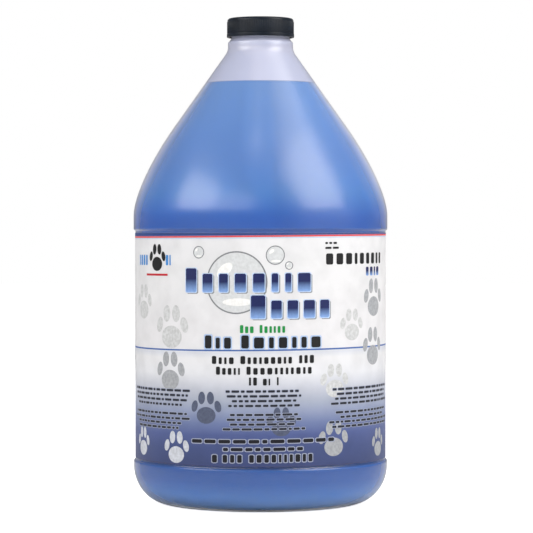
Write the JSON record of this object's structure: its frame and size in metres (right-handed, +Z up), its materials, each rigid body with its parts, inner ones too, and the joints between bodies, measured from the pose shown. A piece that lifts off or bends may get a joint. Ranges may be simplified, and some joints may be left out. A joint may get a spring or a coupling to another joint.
{
  "type": "shampoo bottle",
  "caption": "Round gallon-size shampoo bottle: translucent blown plastic body with a conical shoulder, wrap label in a recessed panel, and a ribbed screw cap on a threaded neck.",
  "frame": {"origin": "centre of the standing ring, on the surface that the bottle stands on", "axes": "+Z up along the bottle's axis; the middle of the label faces -Y, and its open seam is at +Y"},
  "size_m": [0.152, 0.152, 0.29],
  "materials": {
    "natural_hdpe": "translucent blown high-density polyethylene",
    "blue_shampoo": "clear blue liquid",
    "label_film": "printed self-adhesive film",
    "black_polypropylene": "injection-moulded, satin",
    "liner_foam": "foamed polyethylene disc"
  },
  "bodies": {
    "bottle": {"bottle": "natural_hdpe", "shampoo": "blue_shampoo", "wrap_label": "label_film"},
    "liner": {"cap_liner": "liner_foam"},
    "cap": {"cap": "black_polypropylene"}
  },
  "joints": [
    {"name": "cap_lift", "type": "slide", "parent": "bottle", "child": "liner", "axis": [0, 0, 1], "range_m": [0, 0.0036]},
    {"name": "cap_turn", "type": "hinge", "parent": "liner", "child": "cap", "pos_m": [0, 0, 0.2836], "axis": [0, 0, 1], "range_deg": [0, 305]}
  ],
  "couplings": [
    {"joint": "cap_lift", "follows": "cap_turn", "m_per_rad": 0.0006737}
  ]
}
